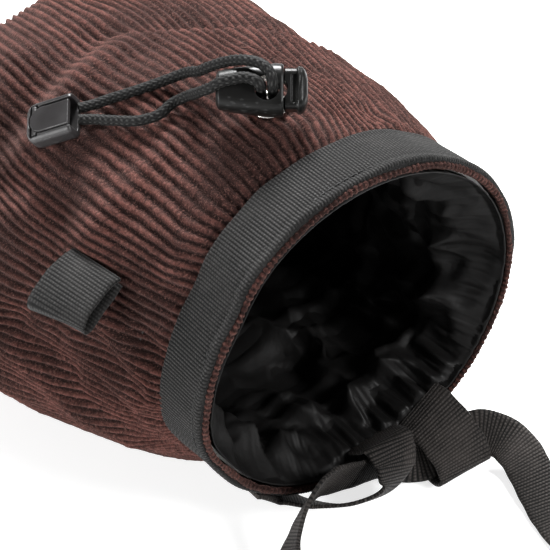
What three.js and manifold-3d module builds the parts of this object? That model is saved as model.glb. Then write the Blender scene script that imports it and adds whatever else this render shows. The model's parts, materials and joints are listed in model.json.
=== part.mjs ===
// Drawstring pouch lying on its back: a corduroy body with a stiffened webbing rim, a nylon
// liner, a drawcord with a spring lock and a cord end, a side loop, two belt loops and a waist
// belt with a side-release buckle. Millimetres, +Z up. The floor is z = 0, the mouth faces -Y.
import * as THREE from 'three';
import { mergeVertices } from 'three/addons/utils/BufferGeometryUtils.js';
import Module from 'manifold-3d';

// ---- Driving dimensions ----
const MOUTH_Y = -80;            // plane of the mouth
const RIM_Z = 68;               // height of the mouth's centre above the floor
const RIM_BAND = 20;            // width of the webbing round the rim
const SEGMENTS = 40;            // facets round the body
const WEBBING = 1.4;            // thickness of the webbing
const CORDUROY = 1.2;           // thickness of the outer fabric
const GAP = 0.3;                // clearance kept between neighbouring pieces
const CORD_RADIUS = 1.6;        // drawcord
const CHANNEL_Y = -38;          // middle of the drawcord channel
const CHANNEL_WIDTH = 18;
const BELT_WIDTH = 15;
const LOOP_WIDTH = 20;
const SIDE_LOOP_WIDTH = 22;
const COIL_RADIUS = 35.5;       // outside of each rolled half of the belt
const COIL_CORE = 18.5;         // the hollow in a roll, where its half of the buckle lies
const BUCKLE_WIDTH = 22;

// Body sections: distance behind the mouth, lowest and widest levels, top (from the mouth's
// centre), half width to -X and half width to +X.
const SECTIONS = [
  [0, -59.5, 0, 59.5, 62.7, 62.7],
  [20, -59.5, -2, 59.5, 62.4, 61.5],
  [32, -65, -8, 62.5, 66.5, 66],
  [50, -70, -14, 64.5, 72, 68.5],
  [75, -70.5, -19, 65, 79.5, 70.5],
  [100, -70.5, -23, 64, 85, 73.5],
  [125, -70.5, -25, 62, 88.5, 77],
  [148, -70, -25, 58, 89, 79],
  [158, -68, -25, 53, 86, 76],
  [164, -63, -24, 47, 80, 70],
];

// ---- Materials ----
const material = (color, roughness, metalness = 0) =>
  new THREE.MeshStandardMaterial({ color, roughness, metalness });
const corduroy = () => material(0x4a2c26, 0.95);
const webbing = () => material(0x2b2b2d, 0.8);
const nylon = () => material(0x161618, 0.45);
const plastic = () => material(0x222325, 0.4);
const steel = () => material(0xb8b6b2, 0.3, 1);
const cordFabric = () => material(0x2a2b2c, 0.85);

const model = new THREE.Group();

function add(name, geometry, finish, parent = model) {
  const mesh = new THREE.Mesh(geometry, finish);
  mesh.name = name;
  parent.add(mesh);
  return mesh;
}

// ---- Booleans ----
const wasm = await Module();
wasm.setup();

function toSolid(geometry) {
  const bare = geometry.clone();
  bare.deleteAttribute('normal');
  bare.deleteAttribute('uv');
  const merged = mergeVertices(bare, 1e-4);
  return new wasm.Manifold(new wasm.Mesh({
    numProp: 3,
    vertProperties: new Float32Array(merged.attributes.position.array),
    triVerts: new Uint32Array(merged.index.array),
  }));
}

function toGeometry(solid) {
  const mesh = solid.getMesh();
  const geometry = new THREE.BufferGeometry();
  geometry.setAttribute('position', new THREE.BufferAttribute(mesh.vertProperties, 3));
  geometry.setIndex(new THREE.BufferAttribute(mesh.triVerts, 1));
  geometry.computeVertexNormals();
  return geometry;
}

function cut(geometry, ...tools) {
  return toGeometry(tools.reduce((body, tool) => body.subtract(toSolid(tool)), toSolid(geometry)));
}

function box(x, y, z, cx = 0, cy = 0, cz = 0) {
  return new THREE.BoxGeometry(x, y, z).translate(cx, cy, cz);
}

// ---- The body's surface ----
function sample(row, y) {
  const depth = THREE.MathUtils.clamp(y - MOUTH_Y, 0, SECTIONS.at(-1)[0]);
  let i = 0;
  while (i < SECTIONS.length - 2 && depth > SECTIONS[i + 1][0]) i += 1;
  const [a, b] = [SECTIONS[i], SECTIONS[i + 1]];
  const f = (depth - a[0]) / (b[0] - a[0]);
  const rise = (k) => (SECTIONS[k + 1][row] - SECTIONS[k][row]) / (SECTIONS[k + 1][0] - SECTIONS[k][0]);
  const slope = (k) => {
    if (k === 0 || k === SECTIONS.length - 1) return rise(Math.min(k, SECTIONS.length - 2));
    const [before, after] = [rise(k - 1), rise(k)];
    return before * after <= 0 ? 0 : (2 * before * after) / (before + after);
  };
  const h = b[0] - a[0];
  const [f2, f3] = [f * f, f * f * f];
  return (2 * f3 - 3 * f2 + 1) * a[row] + (f3 - 2 * f2 + f) * h * slope(i)
    + (3 * f2 - 2 * f3) * b[row] + (f3 - f2) * h * slope(i + 1);
}

function outline(t, y) {
  const [low, wide, top, left, right] = [1, 2, 3, 4, 5].map((row) => sample(row, y));
  const [c, s] = [Math.cos(t), Math.sin(t)];
  const sag = THREE.MathUtils.clamp((y - MOUTH_Y - 20) / 50, 0, 1);
  const power = 2 / (s < 0 ? 2 + 0.6 * sag : 2 + 0.1 * sag);
  const width = c < 0 ? left : right;
  let x = width * Math.sign(c) * Math.abs(c) ** power;
  let z = s < 0 ? wide - (wide - low) * Math.abs(s) ** power : wide + (top - wide) * s ** power;
  // the soft rim is a little dented above the left and pushed out beside it
  const degrees = THREE.MathUtils.euclideanModulo(THREE.MathUtils.radToDeg(t), 360);
  const dent = 2.4 * Math.exp(-(((degrees - 190) / 12) ** 2)) - 2.3 * Math.exp(-(((degrees - 150) / 12) ** 2));
  const fade = THREE.MathUtils.clamp((60 - (y - MOUTH_Y)) / 40, 0, 1);
  x += dent * fade * c;
  z += dent * fade * s;
  return new THREE.Vector2(x, Math.max(z + RIM_Z, 0));
}

function inward(t, y) {
  const step = 0.06;
  const along = outline(t + step, y).sub(outline(t - step, y)).normalize();
  return new THREE.Vector2(-along.y, along.x);
}

// A point of the body's outer surface, moved in by inset.
function bodyPoint(t, y, inset = 0) {
  const p = outline(t, y).addScaledVector(inward(t, y), inset);
  return new THREE.Vector3(p.x, y, p.y);
}

function bodyNormal(t, y) {
  const round = bodyPoint(t + 0.03, y).sub(bodyPoint(t - 0.03, y));
  const back = bodyPoint(t, y + 1).sub(bodyPoint(t, y - 1));
  return back.cross(round).normalize();
}

// ---- Solids ----
function closedMesh(points, faces) {
  const geometry = new THREE.BufferGeometry();
  geometry.setAttribute('position', new THREE.Float32BufferAttribute(points.flatMap((p) => p.toArray()), 3));
  let volume = 0;
  for (const [a, b, c] of faces) {
    volume += points[a].dot(points[b].clone().cross(points[c]));
  }
  geometry.setIndex((volume > 0 ? faces : faces.map(([a, b, c]) => [a, c, b])).flat());
  geometry.computeVertexNormals();
  return geometry;
}

// A closed profile of [y, inset] points carried once round the body.
function ringOfProfile(profile) {
  const points = [];
  const faces = [];
  const n = profile.length;
  for (let i = 0; i < SEGMENTS; i += 1) {
    const t = ((i + 0.5) / SEGMENTS) * Math.PI * 2;
    for (const [y, inset] of profile) points.push(bodyPoint(t, y, inset));
    for (let j = 0; j < n; j += 1) {
      const [a, b] = [i * n + j, i * n + ((j + 1) % n)];
      const [c, d] = [((i + 1) % SEGMENTS) * n + j, ((i + 1) % SEGMENTS) * n + ((j + 1) % n)];
      faces.push([a, b, c], [b, d, c]);
    }
  }
  return closedMesh(points, faces);
}

// A layer between two insets along a list of [y, inset] stations.
function layer(stations, thickness) {
  const inner = stations.map(([y, inset]) => [y, inset + thickness]).reverse();
  return ringOfProfile([...stations, ...inner]);
}

// A flat plate across the body, between two planes.
function crossPlate(y, thickness, inset) {
  const shape = new THREE.Shape();
  for (let i = 0; i < SEGMENTS; i += 1) {
    const p = bodyPoint(((i + 0.5) / SEGMENTS) * Math.PI * 2, y, inset);
    if (i === 0) shape.moveTo(p.x, p.z);
    else shape.lineTo(p.x, p.z);
  }
  const plate = new THREE.ExtrudeGeometry(shape, { depth: thickness, bevelEnabled: false });
  return plate.rotateX(Math.PI / 2).translate(0, y + thickness, 0);
}

// A flat strip along a route of { at, across } stations: across is the direction of its width.
function strip(route, width, thickness = WEBBING, steps = 6) {
  const centre = new THREE.CatmullRomCurve3(route.map(({ at }) => at), false, 'centripetal');
  const total = (route.length - 1) * steps;
  const points = [];
  const faces = [];
  for (let i = 0; i <= total; i += 1) {
    const u = i / total;
    const k = Math.min(Math.floor(i / steps), route.length - 2);
    const across = route[k].across.clone().lerp(route[k + 1].across, i / steps - k);
    const at = centre.getPoint(u);
    const along = centre.getTangent(u);
    across.addScaledVector(along, -across.dot(along)).normalize();
    const face = across.clone().cross(along);
    for (const [w, f] of [[1, 1], [-1, 1], [-1, -1], [1, -1]]) {
      points.push(at.clone().addScaledVector(across, (w * width) / 2).addScaledVector(face, (f * thickness) / 2));
    }
    if (i < total) {
      for (let j = 0; j < 4; j += 1) {
        const [a, b] = [i * 4 + j, i * 4 + ((j + 1) % 4)];
        faces.push([a, b, a + 4], [b, b + 4, a + 4]);
      }
    }
  }
  const last = total * 4;
  faces.push([0, 2, 1], [0, 3, 2], [last, last + 1, last + 2], [last, last + 2, last + 3]);
  return closedMesh(points, faces);
}

const vector = (x, y, z) => new THREE.Vector3(x, y, z);
const stations = (rows) => rows.map(([at, across]) => ({ at: vector(...at), across: vector(...across).normalize() }));

function tube(points, radius, steps, sides = 8) {
  const path = new THREE.CatmullRomCurve3(points.map((p) => (p.isVector3 ? p : vector(...p))), false, 'centripetal');
  const section = new THREE.Shape();
  for (let i = 0; i < sides; i += 1) {
    const a = (i / sides) * Math.PI * 2;
    if (i === 0) section.moveTo(radius, 0);
    else section.lineTo(radius * Math.cos(a), radius * Math.sin(a));
  }
  return new THREE.ExtrudeGeometry(section, { steps, bevelEnabled: false, extrudePath: path });
}

function turned(profile, facets = 20) {
  return new THREE.LatheGeometry(profile.map(([r, h]) => new THREE.Vector2(r, h)), facets).rotateX(Math.PI / 2);
}

function placed(origin, x, z) {
  const group = new THREE.Group();
  const across = z.clone().cross(x).normalize();
  group.matrix.makeBasis(x.clone().normalize(), across, across.clone().cross(x).negate().normalize());
  group.matrix.setPosition(origin);
  group.matrix.decompose(group.position, group.quaternion, group.scale);
  model.add(group);
  return group;
}

// ---- Rim and body ----
function buildRim() {
  const back = MOUTH_Y + RIM_BAND;
  add('rim_webbing', layer([[MOUTH_Y, 0], [MOUTH_Y + RIM_BAND / 2, 0], [back, 0]], WEBBING), webbing());
  const front = MOUTH_Y - 2;
  add('mouth_binding', ringOfProfile([
    [MOUTH_Y - GAP, 0.7], [MOUTH_Y - GAP, 3.8], [front + 0.6, 3.8], [front, 3], [front, 1.5], [front + 0.6, 0.7],
  ]), corduroy());
  add('rim_hoop', layer([[MOUTH_Y + 2.5, 3.25], [MOUTH_Y + 10, 3.25], [back - 1, 3.25]], 0.9), plastic());
}

function buildBody(eyelet) {
  const under = WEBBING + 0.4;
  const rimBack = MOUTH_Y + RIM_BAND;
  const wall = layer([
    [MOUTH_Y + 0.4, under], [MOUTH_Y + 10, under], [rimBack + 0.4, under], [rimBack + 4, 0],
    [-47, 0], [-38, 0], [-29, 0], [-12, 0], [8, 0], [28, 0], [48, 0], [62, 0], [72, 0], [79, 0], [84, 0],
  ], CORDUROY);
  const hole = turned([[0, -8], [4.8, -8], [4.8, 6], [0, 6]]).applyMatrix4(eyelet);
  add('shell_wall', cut(wall, hole), corduroy());
  add('shell_base', crossPlate(84 + GAP, 1.5, -1), corduroy());
}

function buildLiner() {
  add('liner_wall', layer([
    [MOUTH_Y + 0.2, 4.5], [MOUTH_Y + 10, 4.5], [MOUTH_Y + RIM_BAND, 4.5], [-52, 10.4], [-38, 10], [-24, 9.2], [8, 9], [40, 9], [70, 9],
  ], 0.8), nylon());
  add('liner_base', crossPlate(70 + GAP, 0.8, 8.6), nylon());
}

// ---- Drawcord ----
const EYELET_ANGLE = THREE.MathUtils.degToRad(94.5);
const LOCK_CENTRE = vector(-13.5, -38.5, 140.4);
const LOCK_ALONG = vector(0.789, -0.614, 0);
const LOCK_FRONT = vector(-0.456, -0.586, 0.669);
const LOCK_HOLE = 5.5;
const LEAD_SPREAD = 1.75;
const LOCK_TRAVEL = 2.4;

function eyeletMatrix() {
  const origin = bodyPoint(EYELET_ANGLE, CHANNEL_Y).addScaledVector(bodyNormal(EYELET_ANGLE, CHANNEL_Y), 0.4);
  const normal = bodyNormal(EYELET_ANGLE, CHANNEL_Y);
  const x = LOCK_ALONG.clone().addScaledVector(normal, -LOCK_ALONG.dot(normal)).normalize();
  return new THREE.Matrix4().makeBasis(x, normal.clone().cross(x), normal).setPosition(origin);
}

function buildEyelet(matrix) {
  const front = turned([[3.9, -2.9], [4.5, -2.9], [4.5, 0.1], [6, 0.1], [6.3, 0.4], [5.4, 0.95], [4.5, 0.9], [3.9, 0.4], [3.9, -2.9]], 24);
  add('eyelet_flange', front.applyMatrix4(matrix), steel());
  const washer = turned([[4.8, -2.9], [6.2, -2.9], [6.2, -2.5], [4.8, -2.5], [4.8, -2.9]], 24);
  add('eyelet_washer', washer.applyMatrix4(matrix), steel());
}

function buildChannel() {
  const half = CHANNEL_WIDTH / 2;
  const tape = [[-half, 2], [-half + 3, 7.3], [half - 3, 7.3], [half, 2], [half + 1.6, 2], [half - 2.4, 8.1],
    [-half + 2.4, 8.1], [-half - 1.6, 2]].map(([y, inset]) => [CHANNEL_Y + y, inset]);
  add('cord_channel', ringOfProfile(tape), webbing());
}

function lockPoint(along, up, front) {
  const rise = LOCK_FRONT.clone().cross(LOCK_ALONG).normalize();
  return LOCK_CENTRE.clone().addScaledVector(LOCK_ALONG, along)
    .addScaledVector(rise, up).addScaledVector(LOCK_FRONT, front);
}

// The drawcord inside the channel, with its two ends out through the eyelet and the lock.
function buildDrawcord(matrix) {
  const under = [[6.4, -5.5], [4, -5.5], [2.3, -4.9]];
  const through = [-2.9, -0.6, 1.4].map((height) => [LEAD_SPREAD, height]);
  const lead = (side) => [
    ...[...under, ...through].map(([x, height]) => vector(side * x, 0, height).applyMatrix4(matrix)),
    ...[-6.4, -2, 2, 5.8].map((front) => lockPoint(LOCK_HOLE + side * LEAD_SPREAD, 0, front)),
  ];
  const ring = [];
  for (let degrees = 82; degrees >= -252; degrees -= 13.36) {
    ring.push(bodyPoint(THREE.MathUtils.degToRad(degrees), CHANNEL_Y, 5));
  }
  add('drawcord', tube([...lead(1).reverse(), ...ring, ...lead(-1)], CORD_RADIUS, 78), cordFabric());
}

// Free strands from the lock's front to the cord end.
const UPPER_STRAND = [
  [-10.6, -46.5, 144.5], [-11.3, -47.4, 145.6], [-11.3, -47.2, 147.4], [-10.8, -45.3, 149], [-11, -42.9, 150.1],
  [-12, -40, 150.4], [-13.3, -36.8, 149.9], [-14.3, -32.3, 148], [-15.6, -27.7, 145.4], [-16.9, -23.1, 142.2],
  [-17.5, -18.9, 139], [-17.6, -15.2, 137.2], [-18.6, -12, 135.2], [-22.4, -8.6, 132.8], [-27.2, -5.5, 130.7],
  [-32.2, -2.5, 128.9], [-37.1, 1, 126.9], [-40.7, 2.7, 125.8], [-44, 4.2, 125.2], [-45.9, 4.9, 125.1],
];
const LOWER_STRAND = [
  [-13.3, -44.4, 144.5], [-14, -45.3, 145.6], [-14.8, -44.7, 147], [-16, -43, 147.7], [-17.6, -41.3, 147.9],
  [-19.3, -40.1, 147.5], [-21.3, -38.6, 147], [-23.1, -37, 145.9], [-24.6, -35, 143.9], [-25.2, -31.5, 141.3],
  [-24.3, -26.5, 137.5], [-23.4, -22.8, 135], [-24.4, -20.2, 132.9], [-26.6, -18.2, 131.1], [-31.6, -17.6, 128.5],
  [-34.6, -15.8, 127.3], [-37.4, -13.1, 126.2], [-39.8, -8.6, 125], [-41.6, -5.6, 124.3], [-44, -1.6, 123.6],
  [-46.2, 0.4, 123.4], [-48.1, 1.7, 123.4],
];

function buildStrands() {
  add('cord_strand_upper', tube(UPPER_STRAND, CORD_RADIUS, 36), cordFabric());
  add('cord_strand_lower', tube(LOWER_STRAND, CORD_RADIUS, 38), cordFabric());
}

// ---- Cord lock: x along the barrel, z through the hole towards the front ----
function rounded(w, h, r) {
  const s = new THREE.Shape();
  const [x, y] = [w / 2, h / 2];
  s.moveTo(-x + r, -y);
  s.lineTo(x - r, -y);
  s.absarc(x - r, -y + r, r, -Math.PI / 2, 0);
  s.lineTo(x, y - r);
  s.absarc(x - r, y - r, r, 0, Math.PI / 2);
  s.lineTo(-x + r, y);
  s.absarc(-x + r, y - r, r, Math.PI / 2, Math.PI);
  s.lineTo(-x, -y + r);
  s.absarc(-x + r, -y + r, r, Math.PI, Math.PI * 1.5);
  return s;
}

// A bar along X with a rounded y-z section.
function bar(from, to, w, h, r) {
  const geometry = new THREE.ExtrudeGeometry(rounded(w, h, r), { depth: to - from, bevelEnabled: false, curveSegments: 4 });
  return geometry.rotateY(Math.PI / 2).rotateX(Math.PI / 2).translate(from, 0, 0);
}

// A solid along X through rounded sections of [x, width, thickness, corner radius].
function lofted(sections) {
  const points = [];
  const faces = [];
  const rings = sections.map(([x, w, h, r]) => {
    const outlinePoints = rounded(w, h, r).getPoints(4);
    if (outlinePoints[0].distanceTo(outlinePoints.at(-1)) < 1e-6) outlinePoints.pop();
    return outlinePoints.map((p) => vector(x, p.x, p.y));
  });
  const n = rings[0].length;
  points.push(...rings.flat());
  for (let i = 0; i < rings.length - 1; i += 1) {
    for (let j = 0; j < n; j += 1) {
      const [a, b] = [i * n + j, i * n + ((j + 1) % n)];
      faces.push([a, b, a + n], [b, b + n, a + n]);
    }
  }
  const last = (rings.length - 1) * n;
  for (let j = 1; j < n - 1; j += 1) {
    faces.push([0, j + 1, j], [last, last + j, last + j + 1]);
  }
  return closedMesh(points, faces);
}

const roundHole = (radius, x) => new THREE.CylinderGeometry(radius, radius, 30, 24).rotateX(Math.PI / 2).translate(x, 0, 0);

function buildLock() {
  const group = placed(LOCK_CENTRE, LOCK_ALONG, LOCK_FRONT);
  const barrel = lofted([
    [-9.5, 8.6, 7.6, 3.4], [-8.7, 11.2, 9.8, 4], [-4, 13, 10.6, 4.2], [3, 14.8, 11, 4.4], [8, 15.5, 11.2, 4.4],
    [9.8, 15.4, 11.2, 4.4], [10.4, 14.8, 10.6, 4.2],
  ]);
  const springBore = bar(-7, 0, 7.4, 6.4, 2.6);
  const bore = bar(-5.2, 14, 11.2, 8.2, 2.2);
  const throat = bar(6.9, 14, 12.7, 9.2, 2);
  add('lock_body', cut(barrel, springBore, bore, throat, roundHole(3.7, LOCK_HOLE)), plastic(), group);
  const stem = toSolid(bar(-2.4, 11, 10.6, 7.6, 2)).add(toSolid(bar(10.7, 15.2, 12.1, 8.6, 1.7)));
  const flange = lofted([
    [14.4, 13.2, 9.8, 3.4], [14.8, 14, 10.4, 3.8], [15.8, 13.6, 10, 3.8], [16.6, 12, 9, 3.4], [17.2, 9.4, 7.6, 2.8],
    [17.5, 6, 6, 2],
  ]);
  const [slotStart, slotEnd] = [LOCK_HOLE - 3.8, LOCK_HOLE + 3.7 + LOCK_TRAVEL];
  const slot = box(slotEnd - slotStart - 7.4, 7.4, 20, (slotStart + slotEnd) / 2);
  const plunger = [roundHole(3.7, slotStart + 3.7), roundHole(3.7, slotEnd - 3.7), slot]
    .reduce((body, tool) => body.subtract(toSolid(tool)), stem.add(toSolid(flange)));
  add('lock_plunger', toGeometry(plunger), plastic(), group);
  const coil = [];
  for (let i = 0; i <= 40; i += 1) {
    const a = (i / 10) * Math.PI * 2;
    coil.push([-6.2 + (i / 40) * 3.1, 2.3 * Math.cos(a), 2.3 * Math.sin(a)]);
  }
  add('lock_spring', tube(coil, 0.3, 60, 6), steel(), group);
}

// ---- Cord end: x from the cords to the domed end, z out of the body's surface ----
const END_CENTRE = vector(-52.6, 9.4, 120.6);
const END_ALONG = vector(-0.6, 0.68, -0.42);
const END_FRONT = vector(-0.6, -0.03, 0.8);

function buildCordEnd() {
  const group = placed(END_CENTRE, END_ALONG, END_FRONT);
  const shell = lofted([
    [-8, 13.4, 6, 2], [-7.3, 14, 6.6, 2], [5, 14, 6.6, 2], [6.4, 13.2, 6.5, 2], [7.4, 11.4, 5.9, 1.8], [8, 9, 4.8, 1.4],
  ]);
  const roundEnd = (radius, height, z) => new THREE.CylinderGeometry(radius, radius, height, 32)
    .rotateX(Math.PI / 2).translate(2.1, 0, z);
  const tray = cut(shell, box(10.7, 10, 6, -3.25, 0, 1.4), roundEnd(5, 6, 1.4), box(4, 8.6, 3.4, -8, 0, 0));
  add('cord_end_base', cut(tray, box(3, 11.2, 3.2, 5.2, 0, 2.6)), plastic(), group);
  const panel = toSolid(bar(-7.4, 2.1, 8.8, 1.5, 0.5).translate(0, 0, 2.55));
  const pin = toSolid(new THREE.CylinderGeometry(0.9, 0.9, 10.4, 12).translate(5.2, 0, 2.35));
  add('cord_end_cover', toGeometry(panel.add(toSolid(roundEnd(4.4, 1.5, 2.55))).add(pin)), plastic(), group);
  const knot = new THREE.SphereGeometry(1, 10, 8).scale(3.6, 3.8, 1.15).translate(-0.4, 0, -0.2);
  add('cord_knot', knot, cordFabric(), group);
}

// ---- Loops ----
// A strip laid on the body: rows of [angle in degrees, y, lift].

const SIDE_LOOP = [
  [[-64.2, -29.6, 94.6], [0.31, -0.95, 0.05]], [[-68.2, -30.1, 93.9], [0.31, -0.95, 0.05]],
  [[-73.5, -30.8, 91.6], [0.31, -0.95, 0.05]], [[-78.8, -31.6, 87.8], [0.31, -0.95, 0.05]],
  [[-81, -32, 84.4], [0.31, -0.95, 0.05]], [[-79.2, -31.9, 82.4], [0.31, -0.95, 0.05]],
  [[-75, -31.2, 85], [0.31, -0.95, 0.05]], [[-69.5, -30.4, 88.8], [0.31, -0.95, 0.05]],
  [[-64.4, -29.6, 92.4], [0.31, -0.95, 0.05]],
];
const BELT_LOOP_RIGHT = [
  [[25.2, -66, 22.8], [0.87, 0, 0.5]], [[25.4, -76, 22.8], [0.87, 0, 0.5]], [[25.8, -84, 22.4], [0.88, 0, 0.47]],
  [[27.2, -91, 18.6], [0.9, -0.06, 0.4]], [[28.8, -97.2, 12], [0.94, -0.14, 0.28]],
  [[29.4, -99, 6.6], [0.95, -0.16, 0.22]], [[29.8, -95, 2.6], [0.95, -0.1, 0.08]],
  [[30.4, -87.4, 3.1], [0.95, -0.06, 0.16]], [[31.2, -80, 7.6], [0.9, 0, 0.42]], [[32, -72, 12.2], [0.86, 0, 0.5]],
  [[32.1, -64, 12.2], [0.86, 0, 0.5]],
];
const BELT_LOOP_LEFT = [
  [[5.6, -66, 16.2], [1, 0, 0.1]], [[5.6, -75, 16.4], [1, 0, 0.1]], [[5.5, -80.5, 20], [1, 0.02, 0.04]],
  [[5.4, -86.6, 23], [0.98, 0.1, -0.12]], [[4.4, -92, 18], [0.97, 0.18, -0.18]],
  [[0, -93, 11.4], [0.83, 0.31, -0.47]], [[-12, -89.6, 8.6], [0.34, 0.53, -0.78]],
  [[-22, -81, 8], [0.2, 0.79, -0.58]], [[-31, -72.4, 12.8], [0.12, 0.99, -0.09]],
  [[-38.9, -70, 19.8], [0, 1, 0]], [[-42.2, -70, 22.2], [0, 1, 0]],
];

function buildLoops() {
  add('side_loop', strip(stations(SIDE_LOOP), SIDE_LOOP_WIDTH, WEBBING, 3), webbing());
  add('belt_loop_right', strip(stations(BELT_LOOP_RIGHT), LOOP_WIDTH, WEBBING, 3), webbing());
  add('belt_loop_left', strip(stations(BELT_LOOP_LEFT), LOOP_WIDTH, WEBBING, 3), webbing());
}

// ---- Belt: standing on its edge through the loops, each free half ending in a loose roll ----
const BELT_MIDDLE = [
  [[36, -90.2, 10.9], [0, 0.66, 0.75]], [[29, -89.2, 10.4], [0, 0.66, 0.75]], [[20, -88.2, 8.5], [0, 0.57, 0.82]],
  [[15.5, -87, 8.7], [0, 0.2, 0.98]], [[10, -85.7, 11.8], [0, -0.15, 0.99]], [[5, -85.5, 13.2], [0, -0.28, 0.96]],
  [[0.4, -85.5, 14], [0, -0.3, 0.95]],
];
const BELT_LEFT = [
  [[-0.3, -85.5, 14.1], [0, -0.3, 0.95]], [[-5, -85.4, 15], [0, -0.3, 0.95]], [[-10, -85.4, 16.4], [0, -0.3, 0.95]],
  [[-15, -85.9, 18.6], [0, -0.3, 0.95]], [[-21, -87.2, 21.6], [-0.03, -0.35, 0.93]],
  [[-28.6, -89.8, 22.8], [-0.07, -0.42, 0.88]], [[-34.6, -92, 19.6], [-0.05, -0.45, 0.88]],
  [[-39, -94.2, 15.8], [0, -0.45, 0.88]], [[-43.4, -97, 12.2], [0.25, -0.42, 0.85]],
  [[-48.6, -102, 9.4], [0.4, -0.35, 0.82]], [[-58, -114, 8.4], [0.2, -0.15, 0.95]],
  [[-70, -129.2, 8.5], [0, 0, 1]], [[-81, -143.6, 8.5], [0, 0, 1]],
];
const BELT_RIGHT = [
  [[37.4, -90.5, 11], [0, 0.66, 0.75]], [[42, -91.4, 10.8], [0.1, 0.55, 0.82]], [[46.4, -94.4, 9.4], [0.5, 0.45, 0.74]],
  [[48.6, -98.8, 8.2], [0.78, 0.25, 0.57]], [[48.2, -105, 7.6], [0.86, 0, 0.5]], [[46.2, -112, 6.4], [0.9, -0.15, 0.42]],
  [[43.6, -120, 4.2], [0.93, -0.24, 0.28]], [[40.6, -129, 2.3], [0.95, -0.3, 0.1]],
  [[38.2, -139, 2.6], [0.97, -0.2, 0.12]], [[37.4, -152, 5.8], [0.8, -0.05, 0.6]], [[39.4, -166, 8.2], [0.35, 0, 0.94]],
  [[44.6, -180, 8.5], [0, 0, 1]], [[51.6, -194.6, 8.5], [0, 0, 1]], [[54.5, -203, 8.5], [0, 0, 1]],
];
const ROLLS = [
  { side: 'left', lead: BELT_LEFT, centre: vector(-52.5, -166.4, 11.4), heading: vector(0, 1, 0) },
  { side: 'right', lead: BELT_RIGHT, centre: vector(19.8, -215, 11.4), heading: vector(0, 1, 0) },
];
const BAR_X = -9;               // the buckle's webbing bar, behind the roll's centre

function buildBelt() {
  add('belt_middle', strip(stations(BELT_MIDDLE), BELT_WIDTH, WEBBING, 4), webbing());
  for (const { side, lead, centre, heading } of ROLLS) {
    add(`belt_${side}`, strip(stations(lead), BELT_WIDTH, WEBBING, 4), webbing());
    const roll = turned([[COIL_CORE, 0.3], [COIL_RADIUS, 0.3], [COIL_RADIUS, 16.8], [COIL_CORE, 16.8],
      [COIL_CORE, 0.3]], 36);
    add(`belt_coil_${side}`, roll.translate(centre.x, centre.y, 0), webbing());
    const group = placed(centre, heading, vector(heading.y, -heading.x, 0));
    const hem = box(7.2, BELT_WIDTH, 2.6, -14.2);
    add(`belt_hem_${side}`, hem, webbing(), group);
    if (side === 'left') buildBuckleFemale(group);
    else buildBuckleMale(group);
  }
}

// ---- Buckle: x is the way in, y its width, z its thickness ----
function slab(length, width, thickness, radius, x) {
  const geometry = new THREE.ExtrudeGeometry(rounded(length, width, radius),
    { depth: thickness, bevelEnabled: false, curveSegments: 4 });
  return geometry.translate(x, 0, -thickness / 2);
}

const webbingSlot = () => box(3, BELT_WIDTH + 0.6, 20, BAR_X + 3.3);

function buildBuckleFemale(group) {
  const body = slab(22, BUCKLE_WIDTH, 7, 3, BAR_X + 10);
  const mouth = box(15.6, 14.6, 4.6, BAR_X + 14.2);
  const windows = box(6.4, 40, 4.6, BAR_X + 12.4);
  add('buckle_female', cut(body, webbingSlot(), mouth, windows), plastic(), group);
}

function buildBuckleMale(group) {
  const plate = toSolid(slab(9.6, BUCKLE_WIDTH, 5.6, 2.6, BAR_X + 3.8));
  const guide = toSolid(slab(11, 2.6, 3.4, 1.2, BAR_X + 13));
  add('buckle_male', toGeometry(plate.add(guide).subtract(toSolid(webbingSlot()))), plastic(), group);
  for (const [name, side] of [['buckle_prong_lower', -1], ['buckle_prong_upper', 1]]) {
    const arm = [[0.3, 3], [0.3, 5.4], [5.4, 6.4], [6.4, 8.8], [9.4, 8.8], [12.6, 5.6], [12.6, 4], [9, 4.4], [5, 3.6]];
    const shape = new THREE.Shape(arm.map(([x, y]) => new THREE.Vector2(BAR_X + 8.6 + x, side * y)));
    add(name, new THREE.ExtrudeGeometry(shape, { depth: 3.6, bevelEnabled: false }).translate(0, 0, -1.8),
      plastic(), group);
  }
}

const eyelet = eyeletMatrix();
buildRim();
buildBody(eyelet);
buildLiner();
buildEyelet(eyelet);
buildChannel();
buildDrawcord(eyelet);
buildStrands();
buildLock();
buildCordEnd();
buildLoops();
buildBelt();

export default model;
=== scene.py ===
import json
import math

import bmesh
import bpy
import numpy as np
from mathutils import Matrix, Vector
from mathutils.bvhtree import BVHTree


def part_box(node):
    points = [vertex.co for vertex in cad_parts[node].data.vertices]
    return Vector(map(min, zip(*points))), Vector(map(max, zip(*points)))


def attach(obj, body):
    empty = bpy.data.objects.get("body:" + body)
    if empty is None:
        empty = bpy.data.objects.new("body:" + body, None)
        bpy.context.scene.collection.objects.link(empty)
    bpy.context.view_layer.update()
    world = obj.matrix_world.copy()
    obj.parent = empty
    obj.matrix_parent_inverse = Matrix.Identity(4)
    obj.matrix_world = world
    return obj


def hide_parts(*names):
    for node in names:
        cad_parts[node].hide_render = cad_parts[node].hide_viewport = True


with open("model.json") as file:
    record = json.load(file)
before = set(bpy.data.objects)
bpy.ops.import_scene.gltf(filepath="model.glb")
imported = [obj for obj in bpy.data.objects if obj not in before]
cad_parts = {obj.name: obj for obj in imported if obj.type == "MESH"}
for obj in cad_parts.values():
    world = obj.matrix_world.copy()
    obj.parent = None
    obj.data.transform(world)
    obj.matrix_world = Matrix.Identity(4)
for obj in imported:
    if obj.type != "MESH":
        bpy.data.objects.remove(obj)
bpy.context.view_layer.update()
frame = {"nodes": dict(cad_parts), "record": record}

MM = 0.001
BODY = "pouch"
NODES = frame["nodes"]
RNG = np.random.default_rng(7)

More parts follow.
